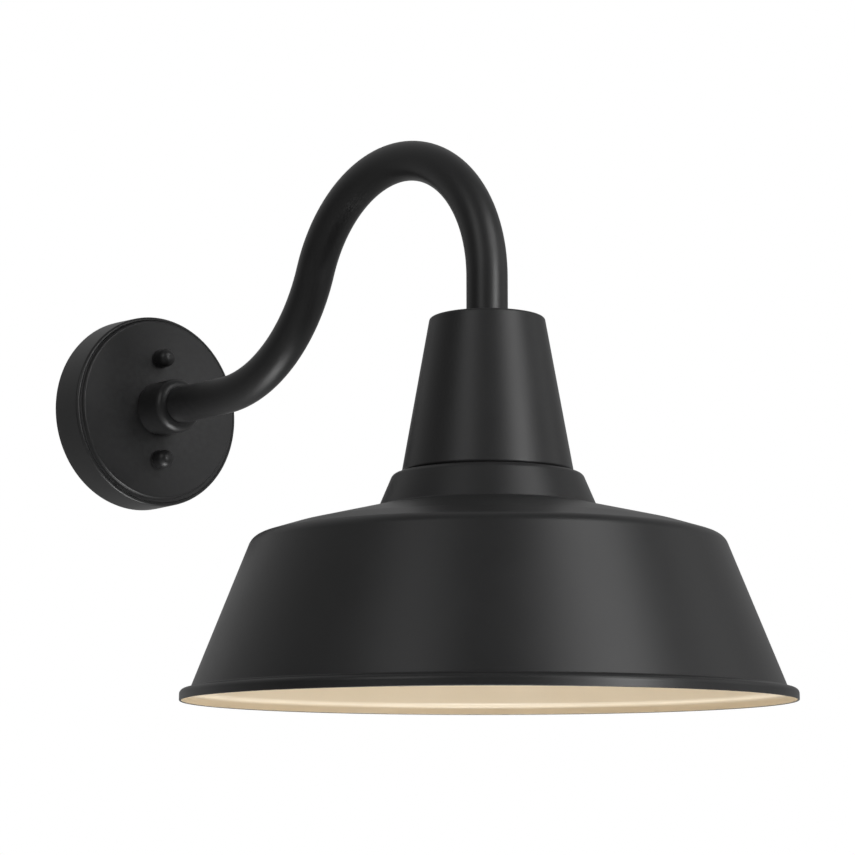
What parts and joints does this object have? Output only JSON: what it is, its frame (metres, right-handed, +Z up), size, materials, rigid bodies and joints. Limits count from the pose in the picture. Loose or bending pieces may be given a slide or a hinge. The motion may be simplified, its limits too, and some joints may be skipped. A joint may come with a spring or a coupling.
{
  "type": "outdoor wall lantern",
  "caption": "Gooseneck outdoor wall light with a round canopy, bent tube arm, tapered socket cup and wide spun shade holding a screw-base bulb.",
  "frame": {"origin": "centre of the canopy's back face on the wall plane", "axes": "+Z up, the lantern reaches out from the wall along -Y, +X to the right of someone facing the wall"},
  "size_m": [0.355, 0.5458, 0.3477],
  "materials": {
    "black_powder_coat": "satin black powder coat on spun steel, ivory enamel on the shade's inside",
    "black_rubber": "matte",
    "zinc_steel": "zinc plated",
    "green_steel": "green dyed zinc",
    "black_steel": "black oxide",
    "tinned_brass": "tinned",
    "brass": "stamped",
    "porcelain": "glazed",
    "orange_plastic": "moulded",
    "black_insulation": "extruded",
    "white_insulation": "extruded",
    "green_insulation": "extruded",
    "solder": "tin solder",
    "black_glass": "glossy",
    "nickel_plate": "nickel plated",
    "clear_glass": "clear",
    "filament_phosphor": "phosphor coated",
    "filament_wire": "bare wire"
  },
  "bodies": {
    "lantern": {"wall_gasket": "black_rubber", "mounting_bracket": "zinc_steel", "mounting_studs": "zinc_steel", "stud_lock_nuts": "zinc_steel", "ground_screw": "green_steel", "ground_ring_terminal": "tinned_brass", "canopy": "black_powder_coat", "cap_nut_washers": "black_rubber", "cap_nuts": "black_powder_coat", "collar_gasket": "black_rubber", "arm_collar": "black_powder_coat", "collar_set_screw": "black_steel", "arm_root_bush": "zinc_steel", "wall_nipple": "zinc_steel", "wall_nipple_washer": "zinc_steel", "wall_nipple_nut": "zinc_steel", "arm_tube": "black_powder_coat", "arm_head_bush": "zinc_steel", "head_nipple": "zinc_steel", "head_ring": "black_rubber", "socket_cup": "black_powder_coat", "socket_strap": "zinc_steel", "head_nipple_washer": "zinc_steel", "head_nipple_nut": "zinc_steel", "strap_screws": "zinc_steel", "socket_body": "porcelain", "socket_screw_shell": "brass", "socket_centre_contact": "brass", "terminal_screws": "brass", "shade_gasket": "black_rubber", "shade": "black_powder_coat", "shade_screws": "zinc_steel", "shade_nuts": "zinc_steel", "wire_connectors": "orange_plastic", "line_wire": "black_insulation", "neutral_wire": "white_insulation", "ground_wire": "green_insulation"},
    "bulb_thread": {"bulb_contact": "solder"},
    "bulb": {"bulb_insulator": "black_glass", "bulb_cap": "nickel_plate", "bulb_glass": "clear_glass", "bulb_stem": "clear_glass", "bulb_filaments": "filament_phosphor", "bulb_filament_wires": "filament_wire"}
  },
  "joints": [
    {"name": "bulb_travel", "type": "slide", "parent": "lantern", "child": "bulb_thread", "axis": [0, 0, -1], "range_m": [0, 0.01633]},
    {"name": "bulb_turn", "type": "hinge", "parent": "bulb_thread", "child": "bulb", "pos_m": [0, -0.3684, -0.09], "axis": [0, 0, -1], "range_deg": [0, 1620]}
  ],
  "couplings": [
    {"joint": "bulb_turn", "follows": "bulb_travel", "rad_per_m": 1731.4}
  ]
}
